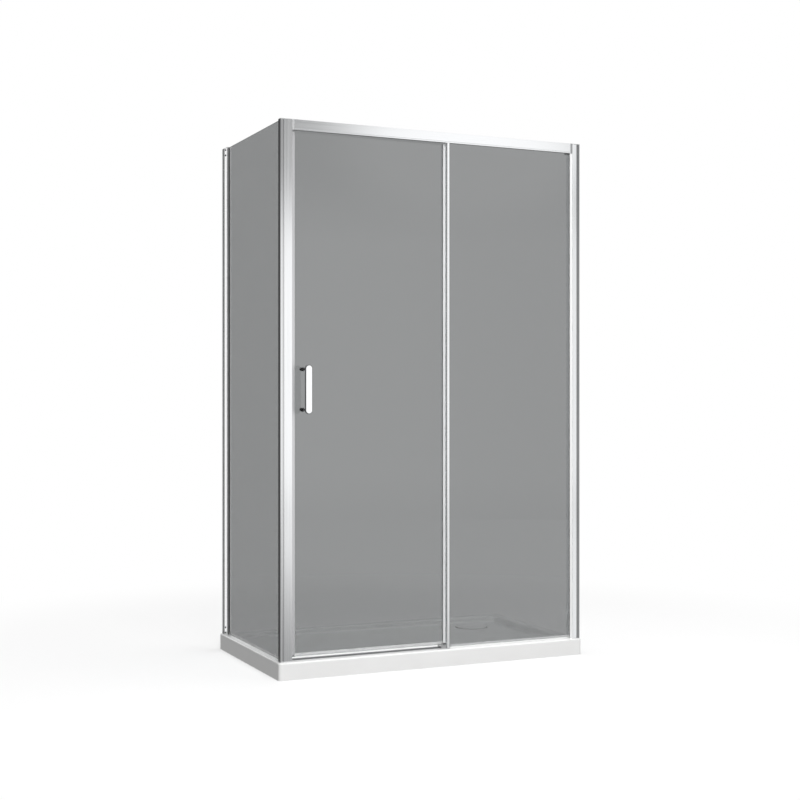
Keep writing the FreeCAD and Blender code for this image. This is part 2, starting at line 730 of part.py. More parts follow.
def make_threshold_and_guide():
    half, top_half = threshold_half_width, threshold_top_half_width
    strip_top = rim + threshold_height
    shoulder = rim + threshold_shoulder
    nodes["threshold_strip"] = lengthwise(
        [(door_glass_y - half, rim), (door_glass_y + half, rim), (door_glass_y + half, shoulder),
         (door_glass_y + top_half, strip_top), (door_glass_y - top_half, strip_top),
         (door_glass_y - half, shoulder)], jamb_right, guide_left)

    slot_half = half_glass + bottom_seal_wall + guide_seal_clearance + guide_insert_wall
    slot = (door_glass_y - slot_half, door_glass_y + slot_half)
    guide_back = slot[1] + guide_back_wall
    guide_top = rim + guide_height
    profile_back = fixed_glass_y + fixed_profile_half_depth
    guide = upright(rectangle(guide_left, guide_right, guide_front, guide_back), rim, guide_top,
                    {index: guide_corner_radius for index in range(4)})
    guide = guide.cut(block((guide_left, guide_right), slot, (rim + guide_base, guide_top)))
    guide = guide.cut(block((fixed_profile_left - running_gap, guide_right),
                            (frame_front, profile_back + running_gap), (rim + guide_base, guide_top)))
    screws = []
    for x, y in guide_screw_places():
        seat = Vector(x, y, guide_top - guide_screw_head)
        foot = Vector(x, y, rim - guide_screw_depth)
        shank = rod(seat, foot, guide_screw_radius)
        head = rod(seat, Vector(x, y, guide_top), guide_screw_head_radius)
        guide = guide.cut(shank).cut(head)
        screws.append(shank.fuse(head).removeSplitter())
    nodes["bottom_guide"] = guide
    nodes["guide_screws"] = Part.makeCompound(screws)

    wall = guide_insert_wall
    insert = [(slot[0], rim + guide_base), (slot[1], rim + guide_base), (slot[1], guide_top),
              (slot[1] - wall, guide_top), (slot[1] - wall, rim + guide_base + wall),
              (slot[0] + wall, rim + guide_base + wall), (slot[0] + wall, guide_top), (slot[0], guide_top)]
    nodes["guide_insert"] = lengthwise(insert, guide_left, guide_right)


# Door: pane, edge profiles, seals

def make_door():
    glass = block((door_glass_left, door_glass_right), (door_glass_front, door_glass_back),
                  (door_glass_bottom, door_glass_top))
    through = Vector(0, glass_thickness, 0)
    for z in stem_heights:
        start = Vector(handle_x, door_glass_front, z)
        glass = glass.cut(rod(start, start + through, stud_radius + glass_hole_clearance))
    for x in clamp_bolt_places():
        start = Vector(x, door_glass_front, clamp_bolt_z)
        glass = glass.cut(rod(start, start + through, clamp_bolt_radius + clamp_hole_clearance))
    nodes["door_glass"] = glass

    span = (door_profile_bottom, door_profile_top)
    leading_right = door_left + leading_width
    trailing_left = door_right - trailing_width
    nodes["door_leading_profile"] = upright(
        edge_profile_outline(door_left, leading_right, leading_base, door_glass_y, leading_half_depth),
        *span, {1: profile_edge_radius, 6: profile_edge_radius})
    nodes["door_trailing_profile"] = upright(
        edge_profile_outline(door_right, trailing_left, trailing_base, door_glass_y, trailing_half_depth),
        *span, {1: profile_edge_radius, 6: profile_edge_radius})
    magnet_left = jamb_right + magnet_stand_out + running_gap
    nodes["door_magnet_seal"] = upright(
        rectangle(magnet_left, door_left, door_glass_y - magnet_width / 2, door_glass_y + magnet_width / 2),
        *span, {0: profile_edge_radius, 3: profile_edge_radius})

    seal_bottom = rim + threshold_height + seal_over_threshold
    section = bottom_seal_section(door_glass_y, seal_bottom, rim + door_seal_top, door_glass_bottom)
    nodes["door_bottom_seal"] = lengthwise(section, leading_right, trailing_left)


def clamp_bolt_places():
    return [centre + side * clamp_bolt_pitch / 2 for centre in carriage_centres for side in (-1, 1)]


# Roller carriages, their clamps, axles and wheels

def make_rollers():
    half = carriage_length / 2
    plate_z = (door_glass_top - carriage_below_glass_top, axle_z + carriage_above_axle)
    clamp_front = door_glass_front - clamp_thickness
    clamp_z = (clamp_bolt_z - clamp_height / 2, clamp_bolt_z + clamp_height / 2)
    clamps, bolts, axles = [], [], []
    wheel_number = 0
    for name, centre in zip(("roller_carriage_left", "roller_carriage_right"), carriage_centres):
        plate = crosswise(rectangle(centre - half, centre + half, *plate_z), door_glass_back, carriage_back,
                          {index: carriage_corner_radius for index in range(4)})
        clamp = block((centre - half, centre + half), (clamp_front, door_glass_front), clamp_z)
        for side in (-1, 1):
            seat = Vector(centre + side * clamp_bolt_pitch / 2, clamp_front, clamp_bolt_z)
            reach = clamp_thickness + glass_thickness + carriage_thickness
            shank = rod(seat, seat + Vector(0, reach, 0), clamp_bolt_radius)
            clamp, plate = clamp.cut(shank), plate.cut(shank)
            bolts.append(screw(seat, Vector(0, 1, 0), reach, clamp_bolt_radius, clamp_bolt_head_radius,
                               clamp_bolt_head))

            x = centre + side * wheel_pitch / 2
            head_front = wheel_back + running_gap
            axle = rod(Vector(x, door_glass_back, axle_z), Vector(x, head_front, axle_z), axle_radius)
            plate = plate.cut(axle)
            shoulder = rod(Vector(x, carriage_back, axle_z), Vector(x, wheel_front - running_gap, axle_z),
                           axle_head_radius)
            head = rod(Vector(x, head_front, axle_z), Vector(x, head_front + axle_head_thickness, axle_z),
                       axle_head_radius)
            axles.append(axle.fuse([shoulder, head]).removeSplitter())

            wheel = rod(Vector(x, wheel_front, axle_z), Vector(x, wheel_back, axle_z), wheel_radius)
            wheel = wheel.makeChamfer(wheel_chamfer, edges_where(wheel, lambda box: box.YLength < touch))
            bore = rod(Vector(x, wheel_front, axle_z), Vector(x, wheel_back, axle_z), axle_radius + axle_fit)
            wheel_number += 1
            nodes["wheel_%d" % wheel_number] = wheel.cut(bore)
        nodes[name] = plate
        clamps.append(clamp)
    nodes["carriage_clamp_plates"] = Part.makeCompound(clamps)
    nodes["carriage_bolts"] = Part.makeCompound(bolts)
    nodes["wheel_axles"] = Part.makeCompound(axles)


# Handle: a round-ended bar on two stems, bolted through the door pane

def make_handle():
    half_width = handle_width / 2
    low, high = handle_z - handle_length / 2, handle_z + handle_length / 2
    bar_front, bar_back = handle_y - handle_thickness / 2, handle_y + handle_thickness / 2
    bar = block((handle_x - half_width, handle_x + half_width), (bar_front, bar_back),
                (low + half_width, high - half_width))
    for z in (low + half_width, high - half_width):
        bar = bar.fuse(rod(Vector(handle_x, bar_front, z), Vector(handle_x, bar_back, z), half_width))
    bar = bar.removeSplitter()
    rims = edges_where(bar, lambda box: box.YLength < touch)
    nodes["handle_bar"] = bar.makeFillet(handle_edge_radius, rims)

    stems, washers, caps = [], [], []
    washer_front = door_glass_front - washer_thickness
    stud_end = door_glass_back + stud_socket
    cap_end = door_glass_back + inner_cap_length
    for z in stem_heights:
        def at(y):
            return Vector(handle_x, y, z)

        stud = rod(at(washer_front), at(stud_end), stud_radius)
        stems.append(rod(at(bar_back), at(washer_front), stem_radius).fuse(stud).removeSplitter())
        washers.append(rod(at(washer_front), at(door_glass_front), washer_radius).cut(stud))
        cap = rod(at(door_glass_back), at(cap_end), inner_cap_radius)
        cap = cap.makeFillet(inner_cap_edge, edges_where(cap, lambda box: box.YMin > cap_end - touch))
        caps.append(cap.cut(stud))
    nodes["handle_stems"] = Part.makeCompound(stems)
    nodes["handle_washers"] = Part.makeCompound(washers)
    nodes["handle_inner_caps"] = Part.makeCompound(caps)


make_tray()
make_waste()
make_corner()
make_right_wall()
make_side_panel(make_left_wall())
make_rail()
make_fixed_pane()
make_threshold_and_guide()
make_door()
make_rollers()
make_handle()

os.makedirs("parts", exist_ok=True)
for name, shape in nodes.items():
    solids = shape.Solids
    if not shape.isValid() or not solids:
        raise RuntimeError("%s is not a valid solid" % name)
    shape.exportStep("parts/%s.step" % name)
    print(name, len(solids), "solid(s)", round(sum(solid.Volume for solid in solids)), "mm3")
print(len(nodes), "nodes")
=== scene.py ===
import json
import math

import bmesh
import bpy
from mathutils import Matrix, Vector

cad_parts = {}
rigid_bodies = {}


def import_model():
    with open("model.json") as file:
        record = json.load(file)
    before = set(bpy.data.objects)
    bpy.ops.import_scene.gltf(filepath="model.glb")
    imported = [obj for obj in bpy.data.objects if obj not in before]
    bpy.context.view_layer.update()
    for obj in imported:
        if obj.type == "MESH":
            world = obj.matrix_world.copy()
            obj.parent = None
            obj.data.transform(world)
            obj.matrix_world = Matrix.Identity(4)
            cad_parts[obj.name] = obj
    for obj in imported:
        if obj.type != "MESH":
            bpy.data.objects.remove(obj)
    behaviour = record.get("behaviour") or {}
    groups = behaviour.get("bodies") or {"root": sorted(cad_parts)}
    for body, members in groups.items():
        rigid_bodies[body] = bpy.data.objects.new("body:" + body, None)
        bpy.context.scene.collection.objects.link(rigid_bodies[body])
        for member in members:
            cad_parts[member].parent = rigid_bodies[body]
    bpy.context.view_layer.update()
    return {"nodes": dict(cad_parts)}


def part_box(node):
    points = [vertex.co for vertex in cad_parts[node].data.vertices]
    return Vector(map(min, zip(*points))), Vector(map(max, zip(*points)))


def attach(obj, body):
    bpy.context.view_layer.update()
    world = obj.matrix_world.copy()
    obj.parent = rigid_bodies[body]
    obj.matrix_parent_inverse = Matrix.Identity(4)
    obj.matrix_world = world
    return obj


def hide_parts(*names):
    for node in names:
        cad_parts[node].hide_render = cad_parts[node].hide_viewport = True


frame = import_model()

nodes = frame["nodes"]
scene = bpy.context.scene
print("frame loaded:", len(nodes), "nodes")


# Short ways to start a finish and to join its nodes

def startTree(name):
    material = bpy.data.materials.new(name)
    material.use_nodes = True
    tree = material.node_tree
    return material, tree, tree.nodes["Principled BSDF"]


def startGlow(name):
    material, tree, shader = startTree(name)
    tree.nodes.remove(shader)
    return material, tree, tree.nodes.new("ShaderNodeEmission")


def addMath(tree, operation, first, second):
    node = tree.nodes.new("ShaderNodeMath")
    node.operation = operation
    tree.links.new(first, node.inputs[0])
    tree.links.new(second, node.inputs[1])
    return node.outputs["Value"]


def addLength(tree, vector):
    node = tree.nodes.new("ShaderNodeVectorMath")
    node.operation = "LENGTH"
    tree.links.new(vector, node.inputs[0])
    return node.outputs["Value"]


def addRange(tree, value, start, end=(0, 1), smooth=False):
    node = tree.nodes.new("ShaderNodeMapRange")
    node.interpolation_type = "SMOOTHSTEP" if smooth else "LINEAR"
    node.inputs["From Min"].default_value, node.inputs["From Max"].default_value = start
    node.inputs["To Min"].default_value, node.inputs["To Max"].default_value = end
    tree.links.new(value, node.inputs["Value"])
    return node.outputs["Result"]


def showShader(tree, shader):
    tree.links.new(shader, tree.nodes["Material Output"].inputs["Surface"])


def showMix(tree, share, first, second):
    # The first shader, and the second one in place of it by its share
    mix = tree.nodes.new("ShaderNodeMixShader")
    tree.links.new(share, mix.inputs["Fac"])
    tree.links.new(first, mix.inputs[1])
    tree.links.new(second, mix.inputs[2])
    showShader(tree, mix.outputs["Shader"])


# Finishes. Each look has a pair of colours and a pair of roughness values that a broad, soft
# unevenness moves between, and most have a fine relief with a grain depth. A larger scale gives
# smaller patches or a finer grain.

even = (1, 1, 1)
noiseShape = {"middle": (0.3, 0.7), "broadDetail": 3, "fineDetail": 2}


def unevenness(tree, scale, stretch=even, detail=noiseShape["broadDetail"]):
    place = tree.nodes.new("ShaderNodeTexCoord")
    mapping = tree.nodes.new("ShaderNodeMapping")
    mapping.inputs["Scale"].default_value = stretch
    noise = tree.nodes.new("ShaderNodeTexNoise")
    noise.inputs["Scale"].default_value = scale
    noise.inputs["Detail"].default_value = detail
    tree.links.new(place.outputs["Object"], mapping.inputs["Vector"])
    tree.links.new(mapping.outputs["Vector"], noise.inputs["Vector"])
    return noise.outputs["Fac"]


def spreadNumber(tree, field, low, high):
    return addRange(tree, field, noiseShape["middle"], (low, high))


def spreadColour(tree, field, first, second):
    mix = tree.nodes.new("ShaderNodeMix")
    mix.data_type = "RGBA"
    mix.inputs["A"].default_value = (*first, 1)
    mix.inputs["B"].default_value = (*second, 1)
    tree.links.new(spreadNumber(tree, field, 0, 1), mix.inputs["Factor"])
    return mix.outputs["Result"]


def addRelief(tree, shader, field, depth):
    bump = tree.nodes.new("ShaderNodeBump")
    bump.inputs["Strength"].default_value = 1
    bump.inputs["Distance"].default_value = depth
    tree.links.new(field, bump.inputs["Height"])
    tree.links.new(bump.outputs["Normal"], shader.inputs["Normal"])


def makeFinish(name, look):
    material, tree, shader = startTree(name)
    stretch = look.get("stretch", even)
    for socket, value in look.get("sockets", {}).items():
        shader.inputs[socket].default_value = value
    broad = unevenness(tree, look["patchScale"], stretch)
    tree.links.new(spreadColour(tree, broad, *look["colours"]), shader.inputs["Base Color"])
    tree.links.new(spreadNumber(tree, broad, *look["roughness"]), shader.inputs["Roughness"])
    if "grainDepth" in look:
        fine = unevenness(tree, look["grainScale"], stretch, noiseShape["fineDetail"])
        addRelief(tree, shader, fine, look["grainDepth"])
    return material


# Drawn profiles carry faint die lines along their length, so each direction has its own stretch
alongZ, alongX = (1, 1, 0.01), (0.01, 1, 1)
metal = {"Metallic": 1.0}
aluminiumLook = {"colours": ((0.80, 0.81, 0.82), (0.86, 0.87, 0.88)), "roughness": (0.10, 0.17),
                 "patchScale": 220, "grainScale": 1400, "grainDepth": 0.000004, "sockets": metal}
uprightLook = {**aluminiumLook, "stretch": alongZ}
rubberLook = {"roughness": (0.55, 0.72), "patchScale": 60, "grainScale": 1600, "grainDepth": 0.00002}
capLook = {"roughness": (0.27, 0.32), "patchScale": 60, "grainScale": 2400, "grainDepth": 0.000004,
           "sockets": {"Metallic": 0.55}}
looks = {
    "trayAcrylic": {"colours": ((0.86, 0.86, 0.855), (0.885, 0.885, 0.88)), "roughness": (0.14, 0.22),
                    "patchScale": 9, "grainScale": 260, "grainDepth": 0.000012,
                    "sockets": {"Coat Weight": 0.35, "Coat Roughness": 0.04}},
    "coverWhite": {"colours": ((0.86, 0.86, 0.85), (0.89, 0.89, 0.885)), "roughness": (0.18, 0.26),
                   "patchScale": 40, "grainScale": 900, "grainDepth": 0.000006,
                   "sockets": {"Coat Weight": 0.2, "Coat Roughness": 0.08}},
    "coreResin": {"colours": ((0.70, 0.70, 0.69), (0.78, 0.78, 0.77)), "roughness": (0.55, 0.75),
                  "patchScale": 420, "grainScale": 1200, "grainDepth": 0.00008},
    "wastePlastic": {"colours": ((0.40, 0.41, 0.42), (0.46, 0.47, 0.48)), "roughness": (0.40, 0.52),
                     "patchScale": 90, "grainScale": 1800, "grainDepth": 0.00002},
    "darkRubber": {**rubberLook, "colours": ((0.030, 0.030, 0.033), (0.045, 0.045, 0.048)),
                   "grainDepth": 0.00003},
    "greyRubber": {**rubberLook, "colours": ((0.075, 0.075, 0.078), (0.10, 0.10, 0.103))},
    "paleRubber": {**rubberLook, "colours": ((0.15, 0.15, 0.153), (0.19, 0.19, 0.193))},
    "uprightAluminium": uprightLook,
    "railAluminium": {**aluminiumLook, "stretch": alongX},
    "brightAluminium": {**uprightLook, "colours": ((0.90, 0.905, 0.91), (0.93, 0.935, 0.94)),
                        "roughness": (0.05, 0.09)},
    # A darker copy of the upright aluminium: painted shade on the corner post's set-back web
    "webAluminium": {**uprightLook, "colours": ((0.58, 0.585, 0.59), (0.64, 0.645, 0.65))},
    # A dark copy of the upright aluminium: painted shade on the right wall channel
    "channelAluminium": {**uprightLook, "colours": ((0.24, 0.245, 0.25), (0.30, 0.305, 0.31)),
                         "roughness": (0.22, 0.32)},
    # A near-black copy of the upright aluminium: painted shade on the corner post's outer side
    "darkAluminium": {**uprightLook, "colours": ((0.11, 0.113, 0.116), (0.15, 0.153, 0.156))},
    # A grey copy of the upright aluminium: painted dark reflection on the left wall channel
    "greyAluminium": {**uprightLook, "colours": ((0.38, 0.385, 0.39), (0.44, 0.445, 0.45)),
                      "roughness": (0.22, 0.32)},
    "satinAluminium": {**uprightLook, "colours": ((0.66, 0.665, 0.675), (0.71, 0.715, 0.725)),
                       "roughness": (0.32, 0.40)},
    # A near-white, barely metallic copy of the aluminium: painted light on the door's trailing profile,
    # which stands in the fixed profile's shade
    "paleAluminium": {**uprightLook, "colours": ((0.90, 0.91, 0.92), (0.94, 0.95, 0.96)),
                      "roughness": (0.28, 0.36), "sockets": {"Metallic": 0.15}},
    # A matt copy of the rail aluminium, paler than the outside: painted light lifting the shade inside
    # the rail
    "insideAluminium": {**aluminiumLook, "colours": ((0.86, 0.86, 0.86), (0.91, 0.91, 0.91)),
                        "roughness": (0.50, 0.62), "stretch": alongX, "sockets": {"Metallic": 0.05}},
    "thresholdAluminium": {"colours": ((0.17, 0.175, 0.18), (0.23, 0.235, 0.24)),
                           "roughness": (0.26, 0.36), "patchScale": 300, "grainScale": 1800,
                           "grainDepth": 0.00001, "stretch": alongX, "sockets": metal},
    "silverCap": {**capLook, "colours": ((0.57, 0.575, 0.58), (0.60, 0.605, 0.61))},
    "greyCap": {**capLook, "colours": ((0.33, 0.335, 0.34), (0.37, 0.375, 0.38))},
    "whiteBead": {"colours": ((0.84, 0.84, 0.84), (0.90, 0.90, 0.90)), "roughness": (0.28, 0.40),
                  "patchScale": 120, "grainScale": 2000, "grainDepth": 0.00001, "stretch": alongZ},
    "magnetSeal": {"colours": ((0.55, 0.56, 0.57), (0.63, 0.64, 0.65)), "roughness": (0.40, 0.55),
                   "patchScale": 140, "grainScale": 1500, "grainDepth": 0.00001, "stretch": alongZ},
    "clearSeal": {"colours": ((0.90, 0.91, 0.91), (0.94, 0.945, 0.945)), "roughness": (0.12, 0.20),
                  "patchScale": 120, "grainScale": 900, "grainDepth": 0.000004, "stretch": alongX,
                  "sockets": {"Alpha": 0.18, "IOR": 1.4}},
    "whiteSeal": {"colours": ((0.84, 0.85, 0.86), (0.90, 0.905, 0.91)), "roughness": (0.28, 0.40),
                  "patchScale": 120, "grainScale": 1500, "grainDepth": 0.000006, "stretch": alongZ,
                  "sockets": {"Transmission Weight": 0.15, "IOR": 1.46}},
    "chrome": {"colours": ((0.86, 0.87, 0.88), (0.90, 0.905, 0.91)), "roughness": (0.035, 0.075),
               "patchScale": 70, "sockets": metal},
    # A near-black copy of the chrome: painted shade on the handle's sides and edges, and on the handle
    # studs
    "edgeChrome": {"colours": ((0.10, 0.102, 0.105), (0.14, 0.142, 0.145)), "roughness": (0.06, 0.12),
                   "patchScale": 70, "sockets": metal},
    # A darker copy of the chrome: painted shade on the floor guide
    "guideChrome": {"colours": ((0.46, 0.465, 0.47), (0.54, 0.545, 0.55)), "roughness": (0.14, 0.22),
                    "patchScale": 90, "sockets": metal},
    "zincSteel": {"colours": ((0.50, 0.51, 0.53), (0.62, 0.63, 0.65)), "roughness": (0.24, 0.38),
                  "patchScale": 260, "grainScale": 2600, "grainDepth": 0.000012, "sockets": metal},
    "darkSteel": {"colours": ((0.09, 0.09, 0.095), (0.13, 0.13, 0.135)), "roughness": (0.30, 0.42),
                  "patchScale": 400, "grainScale": 2600, "grainDepth": 0.000008,
                  "sockets": {"Metallic": 0.9}},
    # A near-black nylon: painted shade along the floor guide's top edges
    "slideNylon": {"colours": ((0.10, 0.10, 0.105), (0.14, 0.14, 0.145)), "roughness": (0.40, 0.52),
                   "patchScale": 200, "grainScale": 2200, "grainDepth": 0.00001},
    "nylon": {"colours": ((0.76, 0.76, 0.73), (0.82, 0.82, 0.79)), "roughness": (0.35, 0.48),
              "patchScale": 200, "grainScale": 2200, "grainDepth": 0.00001,
              "sockets": {"Subsurface Weight": 0.15, "Subsurface Radius": (0.002, 0.002, 0.002)}},
}
finishes = {name: makeFinish(name, look) for name, look in looks.items()}

paneLook = {"tint": (0.265, 0.271, 0.273), "edge": (0.14, 0.20, 0.19), "lampTint": (0.93, 0.94, 0.94),
            "smear": (0.0, 0.004), "patchScale": 7, "index": 1.5}


def makePane(name, colour):
    # Toughened glass: smooth, faintly smeared
    material, tree, shader = startTree(name)
    shader.inputs["Base Color"].default_value = (*colour, 1)
    shader.inputs["Transmission Weight"].default_value = 1
    shader.inputs["IOR"].default_value = paneLook["index"]
    smear = unevenness(tree, paneLook["patchScale"])
    tree.links.new(spreadNumber(tree, smear, *paneLook["smear"]), shader.inputs["Roughness"])
    # Lamps shine through, tinted, so that a pane doesn't darken what is behind it
    lampLight = tree.nodes.new("ShaderNodeBsdfTransparent")
    lampLight.inputs["Color"].default_value = (*paneLook["lampTint"], 1)
    path = tree.nodes.new("ShaderNodeLightPath")
    showMix(tree, path.outputs["Is Shadow Ray"], shader.outputs["BSDF"], lampLight.outputs["BSDF"])
    return material


finishes["paneGlass"] = makePane("paneGlass", paneLook["tint"])
finishes["paneEdge"] = makePane("paneEdge", paneLook["edge"])
print("finishes:", len(finishes))

creaseAngle = 40


def addPiece(name, shape, finishNames, body, replaced, crease=creaseAngle):
    mesh = bpy.data.meshes.new(name)
    shape.to_mesh(mesh)
    shape.free()
    for finishName in finishNames:
        mesh.materials.append(finishes[finishName])
    mesh.shade_smooth()
    mesh.set_sharp_from_angle(angle=math.radians(crease))
    piece = bpy.data.objects.new(name, mesh)
    scene.collection.objects.link(piece)
    weighted = piece.modifiers.new("evenNormals", "WEIGHTED_NORMAL")
    weighted.keep_sharp = True
    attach(piece, body)
    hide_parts(*replaced)
    return piece


def bodyOf(nodeName):
    return nodes[nodeName].parent.name.split(":")[1]


# Pieces that keep the drawn shape: merged, with their longer sharp edges broken

edgeBreak = {"segments": 2, "sharp": 30, "merge": 0.000002, "flat": 0.5}
profileEdge = {"width": 0.0005, "shortest": 0.02}
profiles = {
    "uprightAluminium": {"cornerJamb": "front_corner_jamb", "rightJamb": "right_jamb",
                         "fixedEdgeProfile": "fixed_leading_profile"},
    "satinAluminium": {"doorLeadingProfile": "door_leading_profile"},
    # Painted light: the trailing profile in a near-white copy of the aluminium
    "paleAluminium": {"doorTrailingProfile": "door_trailing_profile"},
    "brightAluminium": {"leftJamb": "side_wall_jamb"},
    # Painted shade: the right wall channel in a dark copy of the aluminium
    "channelAluminium": {"rightChannel": "wall_channel_right"},
    # Painted dark reflection: the left wall channel in a grey copy of the aluminium
    "greyAluminium": {"leftChannel": "wall_channel_left"},
}


def mergedCopy(nodeName):
    shape = bmesh.new()
    shape.from_mesh(nodes[nodeName].data)
    bmesh.ops.remove_doubles(shape, verts=shape.verts, dist=edgeBreak["merge"])
    return shape


def brokenEdgeCopy(nodeName, breaking):
    shape = mergedCopy(nodeName)
    bmesh.ops.dissolve_limit(shape, angle_limit=math.radians(edgeBreak["flat"]), verts=shape.verts,
                             edges=shape.edges, use_dissolve_boundaries=False)
    sharp = math.radians(edgeBreak["sharp"])
    edges = [edge for edge in shape.edges
             if edge.calc_length() > breaking["shortest"] and edge.calc_face_angle(0) > sharp]
    bmesh.ops.bevel(shape, geom=edges, offset=breaking["width"], offset_type="OFFSET", affect="EDGES",
                    segments=edgeBreak["segments"], profile=0.5, material=-1, clamp_overlap=True)
    return shape


for finishName, members in profiles.items():
    for pieceName, nodeName in members.items():
        addPiece(pieceName, brokenEdgeCopy(nodeName, profileEdge), [finishName], bodyOf(nodeName),
                 [nodeName])

# The corner post's web, set back between the two corner profiles, gets a darker copy of the aluminium as
# painted shade in the recess, and its outer side a near-black copy as painted shade
postFaces = {"facing": -0.9, "webDepth": (0.002, 0.004), "sideDepth": 0.001}
postShape = brokenEdgeCopy("side_corner_post", profileEdge)
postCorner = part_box("side_corner_post")[0]
webFront, webBack = postFaces["webDepth"]
for face in postShape.faces:
    depth = face.calc_center_median() - postCorner
    if face.normal.y < postFaces["facing"] and webFront < depth.y < webBack:
        # Painted shade: the darker copy on the set-back web faces
        face.material_index = 1
    elif face.normal.x < postFaces["facing"] and depth.x < postFaces["sideDepth"]:
        # Painted shade: the near-black copy on the post's outer side
        face.material_index = 2
addPiece("cornerPost", postShape, ["uprightAluminium", "webAluminium", "darkAluminium"], "enclosure",
         ["side_corner_post"])

# The rail is matt inside its outer skin, and paler there than outside, as painted light that lifts the
# shade inside the rail
railSkin = 0.001
railShape = brokenEdgeCopy("head_rail", profileEdge)
railLow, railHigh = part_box("head_rail")
for face in railShape.faces:
    middle = face.calc_center_median()
    if middle.z < railHigh.z - railSkin and railLow.y + railSkin < middle.y < railHigh.y - railSkin:
        face.material_index = 1
addPiece("headRail", railShape, ["railAluminium", "insideAluminium"], "enclosure",
         ["head_rail"])
print("profiles:", 2 + sum(len(members) for members in profiles.values()))

smallEdge = {"width": 0.0003, "shortest": 0.0015}
smallParts = {
    "chrome": {"handleBackCaps": "handle_inner_caps"},
    # Painted shade: the handle studs in the near-black copy of the chrome
    "edgeChrome": {"handleStuds": "handle_stems"},
    # Painted shade: the floor guide in a darker copy of the chrome
    "guideChrome": {"floorGuide": "bottom_guide"},
    "silverCap": {"postCap": "corner_post_cap", "rightCap": "right_jamb_cap", "jambCap": "side_jamb_cap",
                  "railEndLeft": "rail_end_cap_left"},
    "greyCap": {"railEndRight": "rail_end_cap_right"},
    "thresholdAluminium": {"threshold": "threshold_strip"},
    "zincSteel": {"carriageLeft": "roller_carriage_left", "carriageRight": "roller_carriage_right",
                  "clampPlates": "carriage_clamp_plates"},
    "greyRubber": {"frontGasket": "side_glass_gasket_front"},
    "paleRubber": {"backGasket": "side_glass_gasket_back"},
    "darkRubber": {"wasteGasket": "waste_gasket", "railGasket": "fixed_rail_gasket",
                   "stopLeft": "rail_stop_left", "stopRight": "rail_stop_right",
                   "handleWashers": "handle_washers"},
    "wastePlastic": {"wasteBody": "waste_flange", "wasteNut": "waste_lock_nut"},
    "magnetSeal": {"jambMagnet": "jamb_magnet_seal", "doorMagnet": "door_magnet_seal"},
    "clearSeal": {"sideFootSeal": "side_bottom_seal", "fixedFootSeal": "fixed_bottom_seal",
                  "doorFootSeal": "door_bottom_seal"},
    "whiteSeal": {"overlapSeal": "overlap_seal"},
    "whiteBead": {"fixedBead": "fixed_glass_gasket"},
    "coverWhite": {"wasteLid": "waste_cover"},
    # Painted shade: the guide's insert in near-black nylon
    "slideNylon": {"guideLiner": "guide_insert"},
}
for finishName, members in smallParts.items():
    for pieceName, nodeName in members.items():
        addPiece(pieceName, brokenEdgeCopy(nodeName, smallEdge), [finishName], bodyOf(nodeName),
                 [nodeName])

# The handle's rounded edges and sides are darker than its flat front, as painted shade in a near-black
# copy of the chrome
gripFlat = 0.97
gripShape = brokenEdgeCopy("handle_bar", smallEdge)
for face in gripShape.faces:
    face.material_index = 0 if abs(face.normal.y) > gripFlat else 1
addPiece("handleGrip", gripShape, ["chrome", "edgeChrome"], "door", ["handle_bar"])
print("small parts:", 1 + sum(len(members) for members in smallParts.values()))


# Rings of edges, and the strips of faces that join them

ringJoin = {"samePlane": 0.000001, "lift": 0.02}


def ringAt(shape, radius, z, sides, centre=(0, 0)):
    turn = Matrix.Translation((*centre, z)) @ Matrix.Rotation(math.pi / sides, 4, "Z")
    made = bmesh.ops.create_circle(shape, cap_ends=False, segments=sides, radius=radius, matrix=turn)
    return list(dict.fromkeys(edge for vert in made["verts"] for edge in vert.link_edges))


def ringVerts(ring):
    return list(dict.fromkeys(vert for edge in ring for vert in edge.verts))


def join(shape, *rings):
    # A strip's direction comes from the gap between its rings, so rings in one plane are held apart
    # while it is made
    for first, second in zip(rings, rings[1:]):
        lifted = ringVerts(second)
        level = abs(ringVerts(first)[0].co.z - lifted[0].co.z) < ringJoin["samePlane"]
        lift = Vector((0, 0, ringJoin["lift"] if level else 0))
        bmesh.ops.translate(shape, vec=lift, verts=lifted)
        bmesh.ops.bridge_loops(shape, edges=[*first, *second])
        bmesh.ops.translate(shape, vec=-lift, verts=lifted)


# Screws, bolts and axle pins: a button head with a hexagon socket on a plain shank

screwShape = {"sides": 24, "socketSides": 6, "socket": 0.45, "socketDepth": 0.6, "crown": 0.72,
              "crownDrop": 0.06, "shoulder": 0.42, "tipShare": 0.6, "rimShare": 0.95, "tipZone": 0.25}
screwNodes = {"cornerScrews": ("corner_screws", "zincSteel"), "railScrews": ("rail_screws", "zincSteel"),
              "guideScrews": ("guide_screws", "zincSteel"), "jambScrews": ("jamb_screws", "darkSteel"),
              "clampBolts": ("carriage_bolts", "zincSteel"), "axlePins": ("wheel_axles", "zincSteel")}


def islands(nodeName):
    # The points of each separate screw in a node
    shape = mergedCopy(nodeName)
    left = dict.fromkeys(shape.verts)
    while left:
        reached = [left.popitem()[0]]
        points = []
        while reached:
            vert = reached.pop()
            points.append(vert.co.copy())
            for edge in vert.link_edges:
                beside = edge.other_vert(vert)
                if beside in left:
                    left.pop(beside)
                    reached.append(beside)
        yield points
    shape.free()


